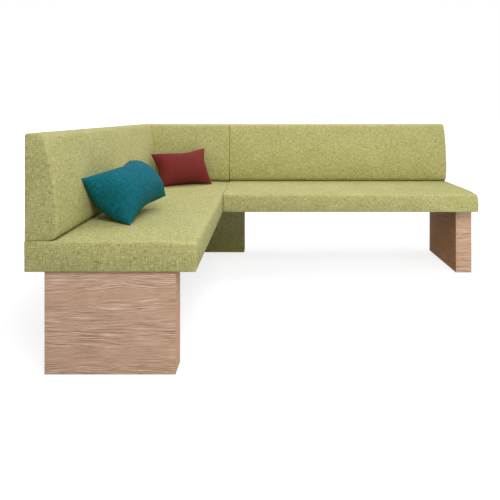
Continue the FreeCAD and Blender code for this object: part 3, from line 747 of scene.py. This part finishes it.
# Boards that take a copy of the oak with painted light or painted shade in place of the plain oak
LEG_WOOD = {
    ("left", "edge", "far"): OAK_PAINTED_WARM_LIGHT,
    ("right", "edge", "near"): OAK_PAINTED_LIGHT_TONE,
    ("right", "face", "near"): OAK_PAINTED_SHADE,
}


def mitred_board(name, low, high, along, outward):
    """A board with small rounded edges, cut at 45 degrees at both ends."""
    size = high - low
    points, quads = box_skin(size, BOARD_EDGE, BOARD_STEP)
    points = rounded(points, size, np.full((len(points), 1), BOARD_EDGE))
    across = 1 - along
    behind = points[:, across] if outward < 0 else size[across] - points[:, across]
    middle = size[along] / 2
    points[:, along] = middle + (points[:, along] - middle) * (1 - behind / middle)
    return mesh_piece(name, points + low, quads)


def leg(side):
    """A hollow panel leg of four mitred boards, the grain lying across all of them."""
    faces_low, faces_high = (np.array(corner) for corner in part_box(side + "_leg_faces"))
    wide = 0 if side == "left" else 1
    deep = 1 - wide
    for number, (along, outward) in enumerate(((wide, -1), (wide, 1), (deep, -1), (deep, 1))):
        low = faces_low.copy()
        high = faces_high.copy()
        across = 1 - along
        if outward < 0:
            high[across] = low[across] + BOARD
        else:
            low[across] = high[across] - BOARD
        kind = "face" if along == wide else "edge"
        place = "near" if outward < 0 else "far"
        piece = mitred_board(f"{side}_leg_{kind}_{place}", low, high, along, outward)
        map_by_facing(piece, GRAIN_MAP, np.multiply(BOARD_SHIFT, number))
        wood = LEG_WOOD.get((side, kind, place), OAK)
        dress(piece, "bench", "oak", wood, f"{side}_leg_{kind}s")


# Loose pillows

# Pillows: turns in degrees, and pulls of corners, tips and sides in millimetres
PILLOWS = {
    "teal": {
        "fabric": TEAL,
        "size": (0.441, 0.277, 0.218),
        "centre": (-0.8010, -0.3854, 0.6040),
        "turn": 79.0,
        "tilt": 7.1,
        "lean": 42.7,
        "pulls": {(-1, -1): (8, -8, -2), (1, -1): (-10, 11, -8), (1, 1): (-3, -11, -7), (-1, 1): (-5, 14, 6)},
        "tips": {(1, 1): (0, 8, 4)},
        "hollows": {(-1, 0): 10},
    },
    "red": {
        "fabric": RED,
        "size": (0.364, 0.268, 0.180),
        "centre": (-0.7241, 0.5907, 0.5885),
        "turn": 26.0,
        "tilt": 1.9,
        "lean": 56.4,
        "pulls": {(-1, -1): (3, 7, 5), (1, -1): (-3, -2, -1), (1, 1): (4, 14, 2), (-1, 1): (-11, -3, -6)},
        "tips": {(1, -1): (-3, 0, 0), (1, 1): (-4, -10, 0)},
        "hollows": {(1, 0): 13},
    },
}
MM_PER_METRE = 1000

# Pillows: cut of the panels, grid step, and how far apart they start in the middle
PANEL_CUT = (0.43, 0.29)
PILLOW_STEP = 0.010
PANEL_GAP = 0.012
SEAM_SHARE = 0.9999

# Pillows: pressure, frames and cloth of the simulation, and the most and least that a point may move
SWELL_PRESSURE = 40
SWELL_FRAMES = 50
SWELL_CAP = 0.3
CLOTH_STIFFNESS = 60
CLOTH_BENDING = 5
CLOTH_DAMPING = 20
SHORTEST_MOVE = 1e-9

# Pillows: rounds of evening out with the seam held, with the corners held, and with nothing held
FOLD_ROUNDS = 20
SEAM_ROUNDS = 10
TIP_ROUNDS = 4

# Pillows: how fast a corner's, a tip's and a side's pull fades
PULL_FADE = 3
TIP_FADE = 20
HOLLOW_FADE = 6

# Pillows: depth up to which sunken points are put back out of a support, and their distance from it then
SINK_REACH = 0.4
REST_GAP = 0.0008

# Directions away from the seat and from the two walls
UP = (0, 0, 1)
FROM_LEFT_WALL = (1, 0, 0)
FROM_REAR_WALL = (0, -1, 0)


def sewn_panels(length, width):
    """Two flat panels sewn together round their edge, slightly apart in the middle.
    Gives points, quads and where each point lies on the panels, from -1 to 1."""
    columns = np.linspace(-1, 1, round(length / PILLOW_STEP) + 1)
    rows = np.linspace(-1, 1, round(width / PILLOW_STEP) + 1)
    across, up = np.meshgrid(columns, rows, indexing="ij")
    apart = PANEL_GAP * (1 - across ** 2) * (1 - up ** 2)
    inner = np.zeros(across.shape, bool)
    inner[1:-1, 1:-1] = True
    front = np.arange(across.size).reshape(across.shape)
    rear = front.copy()
    rear[inner] = across.size + np.arange(inner.sum())
    wide = across * length / 2
    high = up * width / 2
    above = np.stack([wide, high, apart], axis=-1)
    below = np.stack([wide, high, -apart], axis=-1)
    share = np.stack([across, up], axis=-1)
    points = np.concatenate([above.reshape(-1, 3), below[inner]])
    quads = np.concatenate([sheet_quads(front, True), sheet_quads(rear, False)])
    return points, quads, np.concatenate([share.reshape(-1, 2), share[inner]])


def swell(piece):
    """Swells a closed cover by a short cloth simulation and holds each point near its start."""
    scene = bpy.context.scene
    start = points_of(piece.data)
    cloth = piece.modifiers.new("cloth", "CLOTH")
    settings = cloth.settings
    settings.quality = 6
    settings.mass = 0.15
    settings.air_damping = 5
    settings.tension_damping = CLOTH_DAMPING
    settings.compression_damping = CLOTH_DAMPING
    settings.shear_damping = CLOTH_DAMPING
    settings.bending_damping = 2
    settings.tension_stiffness = CLOTH_STIFFNESS
    settings.compression_stiffness = CLOTH_STIFFNESS
    settings.shear_stiffness = CLOTH_STIFFNESS / 2
    settings.bending_stiffness = CLOTH_BENDING
    settings.use_pressure = True
    settings.uniform_pressure_force = SWELL_PRESSURE
    settings.effector_weights.gravity = 0
    cloth.point_cache.frame_end = SWELL_FRAMES
    for step in range(1, SWELL_FRAMES + 1):
        scene.frame_set(step)
    settled = piece.evaluated_get(bpy.context.evaluated_depsgraph_get())
    moved = points_of(settled.data) - start
    piece.modifiers.remove(cloth)
    scene.frame_set(1)
    reach = np.linalg.norm(moved, axis=1, keepdims=True)
    moved *= np.minimum(1, SWELL_CAP / np.maximum(reach, SHORTEST_MOVE))
    set_points(piece.data, start + moved)


def evened(mesh, points, held, rounds):
    """Evens out small folds by moving each free point towards the middle of its neighbours."""
    edges = np.empty(len(mesh.edges) * 2, int)
    mesh.edges.foreach_get("vertices", edges)
    edges = edges.reshape(-1, 2)
    both = np.concatenate([edges, edges[:, ::-1]])
    count = np.bincount(both[:, 0])[:, None]
    for _ in range(rounds):
        sums = [np.bincount(both[:, 0], weights=points[both[:, 1], axis]) for axis in range(3)]
        middle = np.stack(sums, axis=1) / count
        points = np.where(held[:, None], points, (points + middle) / 2)
    return points


def drawn(points, share, facts):
    """Pulls the corners and tips of a pillow into place and hollows its sides."""
    for side, pull in facts["pulls"].items():
        near = np.prod((1 + share * side) / 2, axis=1)[:, None]
        points += near ** PULL_FADE * np.array(pull) / MM_PER_METRE
        points += near ** TIP_FADE * np.array(facts["tips"].get(side, (0, 0, 0))) / MM_PER_METRE
    for (across, upwards), hollow in facts["hollows"].items():
        axis = 0 if across else 1
        facing = across + upwards
        near = ((1 + share[:, axis] * facing) / 2) ** HOLLOW_FADE * (1 - share[:, 1 - axis] ** 2)
        points[:, axis] -= facing * hollow / MM_PER_METRE * near
    return points


def pose_of(facts):
    """A pillow's turn on the seat, tilt and lean as one rotation."""
    turn = Matrix.Rotation(math.radians(facts["turn"]), 3, "Z")
    tilt = Matrix.Rotation(-math.radians(facts["tilt"]), 3, "Y")
    lean = Matrix.Rotation(math.radians(facts["lean"]), 3, "X")
    return np.array(turn @ tilt @ lean)


def rest_on(points, support, direction):
    """Moves points that sink into a piece back out along a direction."""
    surface = BVHTree.FromObject(support, bpy.context.evaluated_depsgraph_get())
    heading = Vector(direction)
    for number, point in enumerate(points):
        start = Vector(point) + heading * SINK_REACH
        hit = surface.ray_cast(start, -heading, SINK_REACH + REST_GAP)
        if hit[0] is not None:
            points[number] = hit[0] + heading * REST_GAP
    return points


def pillow(name, supports):
    """A loose pillow: two sewn panels blown up, then laid in its place against the back."""
    facts = PILLOWS[name]
    points, quads, share = sewn_panels(*PANEL_CUT)
    piece = mesh_piece(name + "_pillow", points, quads)
    map_flat(piece, WEAVE_MAP)
    swell(piece)
    at_rim = np.abs(share) > SEAM_SHARE
    points = evened(piece.data, points_of(piece.data), at_rim.any(axis=1), FOLD_ROUNDS)
    points = evened(piece.data, points, at_rim.all(axis=1), SEAM_ROUNDS)
    points = evened(piece.data, points, np.zeros(len(points), bool), TIP_ROUNDS)
    points -= (points.max(axis=0) + points.min(axis=0)) / 2
    points *= np.array(facts["size"]) / np.ptp(points, axis=0)
    points = drawn(points, share, facts) @ pose_of(facts).T + facts["centre"]
    for support, direction in supports:
        points = rest_on(points, support, direction)
    set_points(piece.data, points)
    subdivide(piece)
    dress(piece, name + "_pillow", name + "_fabric", facts["fabric"],
          name + "_pillow_cover", name + "_pillow_filling")


# Carried-over parts

def dress_frame():
    """Gives every part that keeps its own shape a material."""
    finishes = {
        "frame_wood": frame_stock("frame_wood", (0.45, 0.30, 0.17), (0.62, 0.45, 0.28), along=12, across=160),
        "hardboard": frame_stock("hardboard", (0.16, 0.09, 0.05), (0.24, 0.14, 0.08), along=300, across=300),
        "plywood": frame_stock("plywood", (0.42, 0.29, 0.17), (0.58, 0.43, 0.27), along=30, across=260),
        "foam": matted("foam", (0.60, 0.57, 0.42), (0.75, 0.72, 0.56), scale=700),
        "dust_cloth": matted("dust_cloth", (0.012, 0.012, 0.013), (0.035, 0.035, 0.037), scale=500),
        "webbing": matted("webbing", (0.10, 0.09, 0.07), (0.22, 0.20, 0.16), scale=420),
        "felt": matted("felt", (0.05, 0.045, 0.04), (0.12, 0.11, 0.10), scale=600),
        "zinc_steel": metal("zinc_steel", (0.62, 0.63, 0.65), rough=0.35),
        "bracket_steel": metal("bracket_steel", (0.30, 0.30, 0.31), rough=0.45),
        "oak": OAK,
        "fibre_filling": matted("fibre_filling", (0.75, 0.75, 0.74), (0.88, 0.88, 0.87), scale=300),
        "green_fabric": GREEN,
        "teal_fabric": TEAL,
        "red_fabric": RED,
    }
    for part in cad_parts.values():
        for place in part.material_slots:
            wanted = place.material.name.split(".")[0] if place.material else ""
            if wanted in finishes:
                place.material = finishes[wanted]


# Floor and light

# Floor: half its side, and how it bounces light, glows and takes the shadow
FLOOR_REACH = 60.0
FLOOR_BOUNCE = 0.3
FLOOR_GLOW = 0.76
FLOOR_SHADE = 0.42

# Floor: distances from the middle between which it goes on to white
FLOOR_FADE = (1.2, 3.2)

# Lights: sky strength, then place, aim, side, power in watts and tint of the soft lights
SKY_STRENGTH = 0.46
PLAIN_LIGHT = (1, 1, 1)
LIGHT_AIM = (0.0, 0.3, 0.5)
LIGHT_SIZE = 1.6
KEY_PLACE = (0.5, -2.6, 2.7)
KEY_POWER = 63
TOP_PLACE = (-0.1, 1.0, 2.7)
TOP_POWER = 27
TOP_TINT = (0.95, 0.98, 1.12)
FRONT_PLACE = (-0.4, -3.0, 0.8)
FRONT_POWER = 3.5
FILL_PLACE = (1.6, -0.9, 0.35)
FILL_AIM = (0.4, 0.4, 0.35)
FILL_SIZE = 0.6
FILL_POWER = 5.5


def seen_directly(tree):
    """One for rays from the camera and through mirrors and glass, else zero."""
    path = node(tree, "LightPath")
    seen = math_node(tree, "MAXIMUM", path.outputs["Is Camera Ray"], path.outputs["Is Glossy Ray"])
    return math_node(tree, "MAXIMUM", seen, path.outputs["Is Transmission Ray"])


def grey_diffuse(tree, level):
    """A plain grey surface."""
    return node(tree, "BsdfDiffuse", {"Color": (level, level, level, 1)}).outputs[0]


def set_floor():
    """A plain pale floor that takes the shadow and goes on white into the distance."""
    corners = np.array([(-1, -1, 0), (1, -1, 0), (1, 1, 0), (-1, 1, 0)]) * FLOOR_REACH
    floor = mesh_piece("floor", corners, np.array([[0, 1, 2, 3]]))
    material, tree, shader = new_material("floor")
    tree.nodes.remove(shader)
    distance = node(tree, "VectorMath", {0: object_place(tree)}, operation="LENGTH").outputs["Value"]
    glow = map_range(tree, distance, FLOOR_FADE, (FLOOR_GLOW, 1.0), interpolation_type="SMOOTHSTEP")
    light = node(tree, "Emission", {"Strength": glow}).outputs[0]
    shown = node(tree, "AddShader", {0: light, 1: grey_diffuse(tree, FLOOR_SHADE)}).outputs[0]
    bounce = grey_diffuse(tree, FLOOR_BOUNCE)
    both = node(tree, "MixShader", {0: seen_directly(tree), 1: bounce, 2: shown}).outputs[0]
    tree.links.new(both, tree.nodes["Material Output"].inputs["Surface"])
    floor.data.materials.append(material)


def area_light(name, place, aim, size, power, tint=PLAIN_LIGHT):
    """A broad soft light turned to a point."""
    data = bpy.data.lights.new(name, "AREA")
    data.size = size
    data.energy = power
    data.color = tint
    light = bpy.data.objects.new(name, data)
    light.location = place
    light.visible_camera = False
    light.rotation_euler = (Vector(place) - Vector(aim)).to_track_quat("Z", "Y").to_euler()
    bpy.context.scene.collection.objects.link(light)


def set_light():
    """A pale sky, soft lights from the front and above, and weak low ones in front and on the right."""
    world = bpy.data.worlds.new("studio")
    bpy.context.scene.world = world
    world.use_nodes = True
    tree = world.node_tree
    sky = tree.nodes["Background"]
    strength = map_range(tree, seen_directly(tree), (0, 1), (SKY_STRENGTH, 1.0))
    tree.links.new(strength, sky.inputs["Strength"])
    sky.inputs["Color"].default_value = (1, 1, 1, 1)
    area_light("key_light", KEY_PLACE, LIGHT_AIM, LIGHT_SIZE, KEY_POWER)
    area_light("top_light", TOP_PLACE, LIGHT_AIM, LIGHT_SIZE, TOP_POWER, TOP_TINT)
    area_light("front_light", FRONT_PLACE, LIGHT_AIM, LIGHT_SIZE, FRONT_POWER)
    area_light("fill_light", FILL_PLACE, FILL_AIM, FILL_SIZE, FILL_POWER)


set_camera()
left_seat = seat("left", turned=False)
seat("right", turned=True)
left_back = back("left", turned=False, mitred_at="high", joint_at=None)
corner_back = back("corner", turned=True, mitred_at="low", joint_at="high")
back("right", turned=True, mitred_at=None, joint_at="low")
corner_foot()
leg("left")
leg("right")
pillow("teal", [(left_seat, UP), (left_back, FROM_LEFT_WALL)])
pillow("red", [(left_seat, UP), (corner_back, FROM_REAR_WALL), (left_back, FROM_LEFT_WALL)])
dress_frame()
set_floor()
set_light()
bpy.context.scene.view_settings.view_transform = "Standard"
